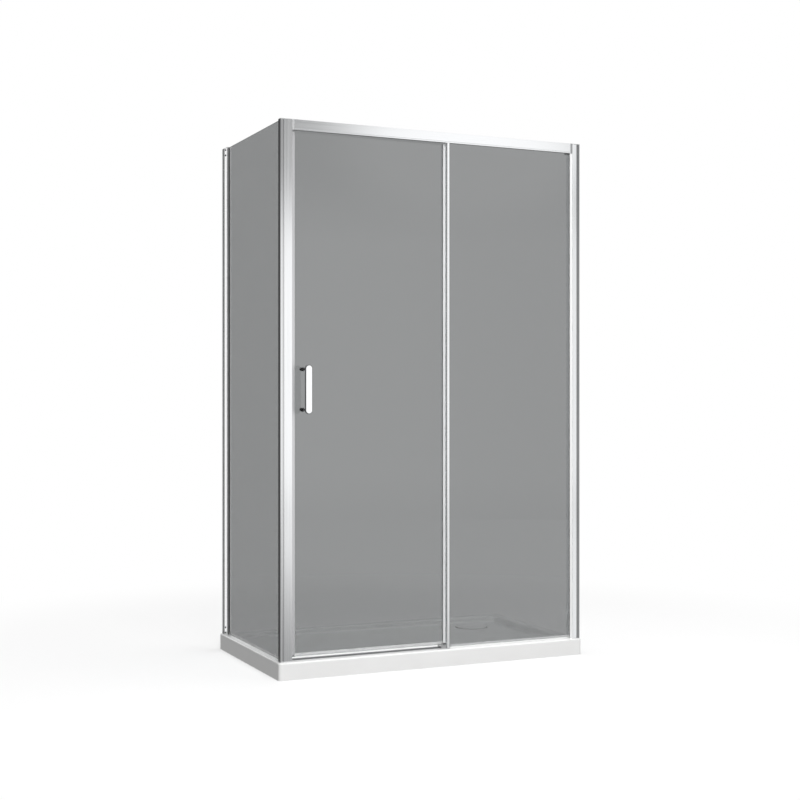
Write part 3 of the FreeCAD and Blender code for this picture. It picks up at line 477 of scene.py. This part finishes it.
def addScrew(shape, points):
    low = Vector([min(point[i] for point in points) for i in range(3)])
    high = Vector([max(point[i] for point in points) for i in range(3)])
    span, middle = high - low, (low + high) / 2
    axis = min(range(3), key=lambda i: abs(span[i - 1] - span[i - 2]))
    along = Vector([i == axis for i in range(3)])

    def outFrom(point):
        away = point - middle
        return (away - away.project(along)).length

    # Which way the head points, how thick it is, and the shank's radius
    size, sides, length = screwShape, screwShape["sides"], span[axis]
    headRadius = span[axis - 1] / 2
    headHeights = [point[axis] for point in points if outFrom(point) > size["rimShare"] * headRadius]
    up = 1 if max(headHeights) > middle[axis] else -1
    top = high[axis] if up > 0 else low[axis]
    tipEnd = low[axis] if up > 0 else high[axis]
    headDrop = abs(top - (min(headHeights) if up > 0 else max(headHeights)))
    tipPoints = [point for point in points if abs(point[axis] - tipEnd) < size["tipZone"] * headDrop]
    shank = max(outFrom(point) for point in tipPoints)

    before = set(shape.verts)
    socket = size["socket"] * headRadius
    socketFoot = ringAt(shape, socket, -size["socketDepth"] * headDrop, size["socketSides"])
    socketTop = ringAt(shape, socket, 0, size["socketSides"])
    crown = ringAt(shape, size["crown"] * headRadius, -size["crownDrop"] * headDrop, sides)
    shoulder = ringAt(shape, headRadius, -size["shoulder"] * headDrop, sides)
    under = ringAt(shape, headRadius, -headDrop, sides)
    neck = ringAt(shape, shank, -headDrop, sides)
    chamfer = ringAt(shape, shank, -length + (1 - size["tipShare"]) * shank, sides)
    tip = ringAt(shape, size["tipShare"] * shank, -length, sides)
    join(shape, socketFoot, socketTop, crown, shoulder, under, neck, chamfer, tip)
    bmesh.ops.edgeloop_fill(shape, edges=socketFoot)
    bmesh.ops.edgeloop_fill(shape, edges=tip)
    base = middle.copy()
    base[axis] = top
    place = Matrix.Translation(base) @ (up * along).to_track_quat("Z", "Y").to_matrix().to_4x4()
    bmesh.ops.transform(shape, matrix=place, verts=[vert for vert in shape.verts if vert not in before])


for pieceName, (nodeName, finishName) in screwNodes.items():
    screws = bmesh.new()
    for points in islands(nodeName):
        addScrew(screws, points)
    bmesh.ops.recalc_face_normals(screws, faces=screws.faces)
    addPiece(pieceName, screws, [finishName], bodyOf(nodeName), [nodeName])
print("screws:", len(screwNodes))


# Door wheels: a nylon tyre on a shielded bearing

wheelShape = {"count": 4, "sides": 48, "bore": 0.00255, "raceOut": 0.0039, "raceIn": 0.0021,
              "shieldFrom": 0.0041, "shieldTo": 0.0056, "shieldIn": 0.0017, "lip": 0.0059,
              "lipMargin": 0.0001, "chamfer": 0.0008}
faceFront = Matrix.Rotation(math.radians(90), 4, "X")


def addWheel(number):
    nodeName = f"wheel_{number}"
    low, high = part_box(nodeName)
    half, radius = (high.y - low.y) / 2, (high.x - low.x) / 2
    size = wheelShape
    section = [(size["bore"], size["raceIn"]), (size["raceOut"], size["raceIn"]),
               (size["shieldFrom"], size["shieldIn"]), (size["shieldTo"], size["shieldIn"]),
               (size["lip"], half), (radius - size["chamfer"], half), (radius, half - size["chamfer"])]
    section += [(across, -offset) for across, offset in reversed(section)]
    shape = bmesh.new()
    rings = [ringAt(shape, across, offset, size["sides"]) for across, offset in section]
    join(shape, *rings, rings[0])
    for face in shape.faces:
        reach = max(vert.co.xy.length for vert in face.verts)
        face.material_index = 1 if reach < size["lip"] - size["lipMargin"] else 0
    bmesh.ops.transform(shape, matrix=Matrix.Translation((low + high) / 2) @ faceFront, verts=shape.verts)
    bmesh.ops.recalc_face_normals(shape, faces=shape.faces)
    addPiece(f"wheel{number}", shape, ["nylon", "zincSteel"], nodeName, [nodeName])


for number in range(1, wheelShape["count"] + 1):
    addWheel(number)
print("wheels:", wheelShape["count"])


# Tray: an acrylic skin with a shallow basin, turned down over a cast resin core

trayShape = {"cornerRadius": 0.010, "wallCorner": 0.006, "cornerSteps": 10, "skin": 0.004,
             "edgeRadius": 0.005, "lipRadius": 0.005, "footRadius": 0.007, "roundSteps": 5,
             "rim": (0.052, 0.046, 0.068, 0.046), "basinCorner": 0.060, "basinRun": 0.012,
             "basinDepth": 0.020, "fall": 0.006, "recessGap": 0.003, "recessDepth": 0.008,
             "recessEdge": 0.0015, "recessSteps": 2, "threadRadius": 0.0423, "coreHole": 0.080,
             "coreGap": 0.0003}


def roundedRing(shape, low, high, z, frontRadius, backRadius):
    # A closed ring of edges round a rectangle in plan, with rounded corners
    before = set(shape.edges)
    made = bmesh.ops.create_grid(shape, x_segments=1, y_segments=1, size=0.5)["verts"]
    bmesh.ops.scale(shape, vec=(high[0] - low[0], high[1] - low[1], 1), verts=made)
    bmesh.ops.translate(shape, vec=((high[0] + low[0]) / 2, (high[1] + low[1]) / 2, z), verts=made)
    middle = (high[1] + low[1]) / 2
    for corners, radius in (([vert for vert in made if vert.co.y < middle], frontRadius),
                            ([vert for vert in made if vert.co.y > middle], backRadius)):
        bmesh.ops.bevel(shape, geom=corners, offset=radius, offset_type="OFFSET", affect="VERTICES",
                        segments=trayShape["cornerSteps"], profile=0.5, material=-1)
    ring = [edge for edge in shape.edges if edge not in before]
    filling = list({face for edge in ring for face in edge.link_faces})
    bmesh.ops.delete(shape, geom=filling, context="FACES_ONLY")
    return ring


def roundRing(shape, centre, radius, z):
    return ringAt(shape, radius, z, 4 * (trayShape["cornerSteps"] + 1), centre)


def bevelRing(shape, ring, width, segments):
    bmesh.ops.bevel(shape, geom=ring, offset=width, offset_type="OFFSET", affect="EDGES",
                    segments=segments, profile=0.5, material=-1, clamp_overlap=True)


def settleOrder(shape):
    # Bevels leave the faces in an order that changes from run to run
    shape.verts.index_update()
    ranked = sorted(shape.faces, key=lambda face: sorted(vert.index for vert in face.verts))
    for number, face in enumerate(ranked):
        face.index = number
    shape.faces.sort()


def wasteCentre():
    low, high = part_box("waste_cover")
    return ((low.x + high.x) / 2, (low.y + high.y) / 2), (high.x - low.x) / 2


def makeTray():
    size = trayShape
    low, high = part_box("shower_tray")
    coreTop, top = low.z, high.z
    centre, coverRadius = wasteCentre()
    recess = coverRadius + size["recessGap"]
    left, right, front, back = size["rim"]
    shape = bmesh.new()

    def outer(inset, z):
        backCorner = max(size["wallCorner"] - inset, size["wallCorner"] / 2)
        return roundedRing(shape, (low.x + inset, low.y + inset), (high.x - inset, high.y - inset), z,
                           size["cornerRadius"] - inset, backCorner)

    def basin(inset, z):
        corner = size["basinCorner"] - inset
        return roundedRing(shape, (low.x + left + inset, low.y + front + inset),
                           (high.x - right - inset, high.y - back - inset), z, corner, corner)

    edge, lip = outer(0, top), basin(0, top)
    floorZ = top - size["basinDepth"]
    recessZ = floorZ - size["recessDepth"]
    foot = basin(size["basinRun"], floorZ)
    for vert in ringVerts(foot):
        vert.co.z += size["fall"] * ((vert.co.xy - Vector(centre)).length - recess)
    recessTop = roundRing(shape, centre, recess, floorZ)
    recessFoot = roundRing(shape, centre, recess, recessZ)
    hole = roundRing(shape, centre, size["threadRadius"], recessZ)
    holeFoot = roundRing(shape, centre, size["threadRadius"], coreTop)
    skinTop, skinFoot = outer(size["skin"], coreTop), outer(size["skin"], 0)
    bottom = outer(0, 0)
    join(shape, edge, lip, foot, recessTop, recessFoot, hole, holeFoot, skinTop, skinFoot, bottom, edge)
    bmesh.ops.recalc_face_normals(shape, faces=shape.faces)
    bevelRing(shape, recessTop, size["recessEdge"], size["recessSteps"])
    bevelRing(shape, foot, size["footRadius"], size["roundSteps"])
    bevelRing(shape, lip, size["lipRadius"], size["roundSteps"])
    bevelRing(shape, edge, size["edgeRadius"], size["roundSteps"])
    settleOrder(shape)
    addPiece("trayTop", shape, ["trayAcrylic"], "enclosure", ["shower_tray"])

    core = bmesh.new()
    inset = size["skin"] + size["coreGap"]
    rings = []
    for z in (0, coreTop - size["coreGap"]):
        outside = roundedRing(core, (low.x + inset, low.y + inset), (high.x - inset, high.y - inset), z,
                              size["cornerRadius"] - inset, size["wallCorner"])
        inside = roundRing(core, centre, size["coreHole"], z)
        rings.append((outside, inside))
    (lowOut, lowIn), (highOut, highIn) = rings
    join(core, lowIn, lowOut, highOut, highIn, lowIn)
    bmesh.ops.recalc_face_normals(core, faces=core.faces)
    addPiece("trayCore", core, ["coreResin"], "enclosure", ["tray_core"])


makeTray()
print("tray: skin and core")


# Glass panes: ground arrises, a greener cut edge, and holes where something is bolted through

paneShape = {"arris": 0.0008, "facing": 0.9, "crease": 20, "stemHole": 0.004, "clampHole": 0.0035,
             "clampPitch": 0.024, "holeSides": 32, "drillLength": 3}
# For each pane its node, the axis it is thin along, and its body
panes = {"sidePane": ("side_glass", 0, "enclosure"), "fixedPane": ("fixed_glass", 1, "enclosure"),
         "doorPane": ("door_glass", 1, "door")}


def paneBlock(nodeName, thin):
    low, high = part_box(nodeName)
    shape = bmesh.new()
    bmesh.ops.create_cube(shape, size=1)
    bmesh.ops.scale(shape, vec=high - low, verts=shape.verts)
    bmesh.ops.translate(shape, vec=(low + high) / 2, verts=shape.verts)
    bmesh.ops.bevel(shape, geom=shape.edges[:], offset=paneShape["arris"], offset_type="OFFSET",
                    affect="EDGES", segments=1, profile=0.5, material=-1, clamp_overlap=True)
    for face in shape.faces:
        face.material_index = 0 if abs(face.normal[thin]) > paneShape["facing"] else 1
    return shape


def boltHoles():
    # Handle studs and clamp bolts pass through the door's pane: a centre and a radius for each
    low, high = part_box("handle_washers")
    washer = (high.x - low.x) / 2
    holes = [((low.x + washer, z), paneShape["stemHole"]) for z in (low.z + washer, high.z - washer)]
    boltLow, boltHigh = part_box("carriage_bolts")
    for carriage in ("roller_carriage_left", "roller_carriage_right"):
        left, right = (corner.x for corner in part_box(carriage))
        for side in (-0.5, 0.5):
            x = (left + right) / 2 + side * paneShape["clampPitch"]
            holes.append(((x, (boltLow.z + boltHigh.z) / 2), paneShape["clampHole"]))
    return holes


def drillPane(pane):
    low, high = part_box("door_glass")
    length = paneShape["drillLength"] * (high.y - low.y)
    drills = bmesh.new()
    for (x, z), radius in boltHoles():
        place = Matrix.Translation((x, (low.y + high.y) / 2, z)) @ faceFront
        bmesh.ops.create_cone(drills, cap_ends=True, segments=paneShape["holeSides"], radius1=radius,
                              radius2=radius, depth=length, matrix=place)
    mesh = bpy.data.meshes.new("drills")
    drills.to_mesh(mesh)
    drills.free()
    drill = bpy.data.objects.new("drills", mesh)
    scene.collection.objects.link(drill)
    cut = pane.modifiers.new("holes", "BOOLEAN")
    cut.operation = "DIFFERENCE"
    cut.solver = "EXACT"
    cut.object = drill
    bpy.context.view_layer.update()
    drilled = bpy.data.meshes.new_from_object(pane.evaluated_get(bpy.context.evaluated_depsgraph_get()))
    pane.modifiers.remove(cut)
    pane.data = drilled
    bpy.data.objects.remove(drill)


for paneName, (nodeName, thin, body) in panes.items():
    pane = addPiece(paneName, paneBlock(nodeName, thin), ["paneGlass", "paneEdge"], body,
                    [nodeName], paneShape["crease"])
    if nodeName == "door_glass":
        drillPane(pane)
print("panes:", len(panes))


# Studio: a pale floor that fades into a white surround, two soft lamps and even fill.
# The cyclorama and the cards are there only for the metal and glass to mirror.

studio = {"floorRadius": 9.0, "floorSides": 96, "fadeStart": 1.0, "fadeEnd": 2.4, "leastGlow": 0.5,
          "floorColour": (0.88, 0.88, 0.88), "floorRoughness": 0.9, "speckScale": 30, "speckLift": 0.01,
          "mirroredFloor": (0.44, 0.95), "mirroredAcross": (-0.42, 0.83), "mirroredBack": (0.64, 0.76),
          "fill": 0.275}
lamps = {"overheadLamp": {"place": (0.2, -0.2, 5.2), "aim": (0, 0, 0), "size": 3.0, "power": 185.0},
         "frontLamp": {"place": (-0.9, -5.4, 2.8), "aim": (0, 0, 0.6), "size": 3.0, "power": 255.0}}


def makeFloorFinish():
    # White away from the part, with its shadow kept nearby. Mirrored, its level goes with the place.
    material, tree, shader = startTree("paleFloor")
    shader.inputs["Roughness"].default_value = studio["floorRoughness"]
    shader.inputs["Specular IOR Level"].default_value = 0.0
    base = studio["floorColour"]
    lighter = [value + studio["speckLift"] for value in base]
    speck = unevenness(tree, studio["speckScale"])
    tree.links.new(spreadColour(tree, speck, base, lighter), shader.inputs["Base Color"])
    place = tree.nodes.new("ShaderNodeTexCoord").outputs["Object"]
    path = tree.nodes.new("ShaderNodeLightPath").outputs
    mirrored = addMath(tree, "GREATER_THAN", path["Is Glossy Ray"], path["Is Transmission Ray"])
    parts = tree.nodes.new("ShaderNodeSeparateXYZ")
    tree.links.new(place, parts.inputs["Vector"])
    across = addRange(tree, parts.outputs["X"], studio["mirroredAcross"], studio["mirroredFloor"])
    behind = addRange(tree, parts.outputs["Y"], studio["mirroredBack"])
    level = tree.nodes.new("ShaderNodeMix")
    level.data_type = "FLOAT"
    level.inputs["A"].default_value = 1
    tree.links.new(mirrored, level.inputs["Factor"])
    tree.links.new(addMath(tree, "MAXIMUM", across, behind), level.inputs["B"])
    white = tree.nodes.new("ShaderNodeEmission")
    tree.links.new(level.outputs["Result"], white.inputs["Strength"])
    fade = addRange(tree, addLength(tree, place), (studio["fadeStart"], studio["fadeEnd"]),
                    (studio["leastGlow"], 1), smooth=True)
    glowing = addMath(tree, "MAXIMUM", fade, mirrored)
    showMix(tree, glowing, shader.outputs["BSDF"], white.outputs["Emission"])
    return material


def addStage(name, shape, material):
    mesh = bpy.data.meshes.new(name)
    shape.to_mesh(mesh)
    shape.free()
    mesh.materials.append(material)
    stage = bpy.data.objects.new(name, mesh)
    scene.collection.objects.link(stage)
    return stage


def mirroredOnly(stage):
    stage.visible_camera = False
    stage.visible_diffuse = False
    stage.visible_transmission = False
    stage.visible_shadow = False


floorShape = bmesh.new()
bmesh.ops.create_circle(floorShape, cap_ends=True, segments=studio["floorSides"],
                        radius=studio["floorRadius"])
floor = addStage("floor", floorShape, makeFloorFinish())
floor.visible_diffuse = False

# The cyclorama's brightness goes round with the angle, as a share of a turn clockwise from the front,
# and up with the height
cyclorama = {"radius": 6.5, "sides": 128, "low": -1.5, "high": 5.0,
             "around": ((0.0, 0.85), (0.12, 0.9), (0.25, 0.7), (0.36, 0.8), (0.45, 0.95), (0.52, 1.0),
                        (0.64, 1.0), (0.75, 0.7), (0.86, 0.8), (0.915, 1.0), (0.94, 1.2), (0.955, 1.2),
                        (1.0, 0.9)),
             "up": ((-1.5, 0.55), (-0.2, 0.6), (0.35, 1.0), (2.2, 1.0), (2.75, 0.42), (3.4, 0.38),
                    (5.0, 0.5))}


def addRamp(tree, value, stops, low, high):
    ramp = tree.nodes.new("ShaderNodeValToRGB")
    for _ in range(len(stops) - 2):
        ramp.color_ramp.elements.new(0.5)
    for element, (place, level) in zip(ramp.color_ramp.elements, stops):
        element.position = (place - low) / (high - low)
        element.color = (level, level, level, 1)
    tree.links.new(value, ramp.inputs["Fac"])
    return ramp.outputs["Color"]


def makeCycloramaFinish():
    material, tree, glow = startGlow("cycloramaGlow")
    low, high = cyclorama["low"], cyclorama["high"]
    place = tree.nodes.new("ShaderNodeTexCoord")
    parts = tree.nodes.new("ShaderNodeSeparateXYZ")
    tree.links.new(place.outputs["Object"], parts.inputs["Vector"])
    angle = addMath(tree, "ARCTAN2", parts.outputs["X"], parts.outputs["Y"])
    around = addRamp(tree, addRange(tree, angle, (-math.pi, math.pi)), cyclorama["around"], 0, 1)
    up = addRamp(tree, addRange(tree, parts.outputs["Z"], (low, high)), cyclorama["up"], low, high)
    both = tree.nodes.new("ShaderNodeMix")
    both.data_type = "RGBA"
    both.blend_type = "MULTIPLY"
    both.inputs["Factor"].default_value = 1
    tree.links.new(around, both.inputs["A"])
    tree.links.new(up, both.inputs["B"])
    tree.links.new(both.outputs["Result"], glow.inputs["Color"])
    showShader(tree, glow.outputs["Emission"])
    return material


wallMiddle = (cyclorama["high"] + cyclorama["low"]) / 2
wallShape = bmesh.new()
bmesh.ops.create_cone(wallShape, cap_ends=False, segments=cyclorama["sides"], radius1=cyclorama["radius"],
                      radius2=cyclorama["radius"], depth=cyclorama["high"] - cyclorama["low"],
                      matrix=Matrix.Translation((0, 0, wallMiddle)))
mirroredOnly(addStage("cyclorama", wallShape, makeCycloramaFinish()))

# Cards: a soft box for the front rail to mirror, a dark flag beside the side panel, and a white card
# far behind for the wall jamb
cards = {"softBox": {"place": (2.65, -5.35, 2.95), "turn": (90, 27), "size": (2.6, 1.8), "level": 1.2,
                     "soft": 0.27},
         "darkFlag": {"place": (-0.72, 0.205, 1.15), "turn": (90, 90), "size": (1.01, 2.3), "level": 0.24,
                      "soft": 0.0},
         "whiteCard": {"place": (-2.3, 5.4, 1.2), "turn": (90, 0), "size": (2.0, 5.4), "level": 1.0,
                       "soft": 0.0}}


def makeCardFinish(name, card):
    # An even glow that fades out over the soft share of the card at its edges
    material, tree, glow = startGlow(name)
    glow.inputs["Strength"].default_value = card["level"]
    if not card["soft"]:
        showShader(tree, glow.outputs["Emission"])
        return material
    place = tree.nodes.new("ShaderNodeUVMap")
    centred = tree.nodes.new("ShaderNodeVectorMath")
    centred.operation = "SUBTRACT"
    centred.inputs[1].default_value = (0.5, 0.5, 0)
    tree.links.new(place.outputs["UV"], centred.inputs[0])
    away = addLength(tree, centred.outputs["Vector"])
    fade = addRange(tree, away, (0.5 - card["soft"], 0.5), smooth=True)
    clear = tree.nodes.new("ShaderNodeBsdfTransparent")
    showMix(tree, fade, glow.outputs["Emission"], clear.outputs["BSDF"])
    return material


for cardName, card in cards.items():
    cardShape = bmesh.new()
    cardShape.loops.layers.uv.new("UVMap")
    width, height = card["size"]
    tip, turn = (math.radians(angle) for angle in card["turn"])
    upright = (Matrix.Translation(card["place"]) @ Matrix.Rotation(turn, 4, "Z")
               @ Matrix.Rotation(tip, 4, "X") @ Matrix.Diagonal((width, height, 1, 1)))
    bmesh.ops.create_grid(cardShape, x_segments=1, y_segments=1, size=0.5, matrix=upright, calc_uvs=True)
    mirroredOnly(addStage(cardName, cardShape, makeCardFinish(cardName, card)))


def makeWorld():
    # White to the camera, in mirrors and through glass; a weaker fill for what it lights
    world = bpy.data.worlds.new("whiteStudio")
    world.use_nodes = True
    tree = world.node_tree
    background = tree.nodes["Background"]
    background.inputs["Color"].default_value = (1, 1, 1, 1)
    path = tree.nodes.new("ShaderNodeLightPath").outputs
    seen = addMath(tree, "MAXIMUM", path["Is Camera Ray"], path["Is Glossy Ray"])
    seenThrough = addMath(tree, "MAXIMUM", seen, path["Is Transmission Ray"])
    level = addRange(tree, seenThrough, (0, 1), (studio["fill"], 1))
    tree.links.new(level, background.inputs["Strength"])
    scene.world = world


def addLamp(name, setting):
    lamp = bpy.data.lights.new(name, "AREA")
    lamp.shape = "DISK"
    lamp.size = setting["size"]
    lamp.energy = setting["power"]
    holder = bpy.data.objects.new(name, lamp)
    scene.collection.objects.link(holder)
    holder.location = setting["place"]
    aim = Vector(setting["aim"]) - Vector(setting["place"])
    holder.rotation_euler = aim.to_track_quat("-Z", "Y").to_euler()
    holder.visible_glossy = False
    holder.visible_transmission = False


makeWorld()
for lampName, setting in lamps.items():
    addLamp(lampName, setting)
print("studio ready")


# Camera at the photograph's viewpoint
viewpoint = {"place": (-2.1782, -4.9702, 0.9686), "turn": -25.332, "sensor": 36, "lens": 63.88,
             "shift": (-0.05, -0.0025)}
cameraData = bpy.data.cameras.new("camera")
cameraData.sensor_width = viewpoint["sensor"]
cameraData.lens = viewpoint["lens"]
cameraData.shift_x, cameraData.shift_y = viewpoint["shift"]
camera = bpy.data.objects.new("camera", cameraData)
scene.collection.objects.link(camera)
camera.location = viewpoint["place"]
camera.rotation_euler = (math.radians(90), 0, math.radians(viewpoint["turn"]))
scene.camera = camera
scene.view_settings.view_transform = "Standard"
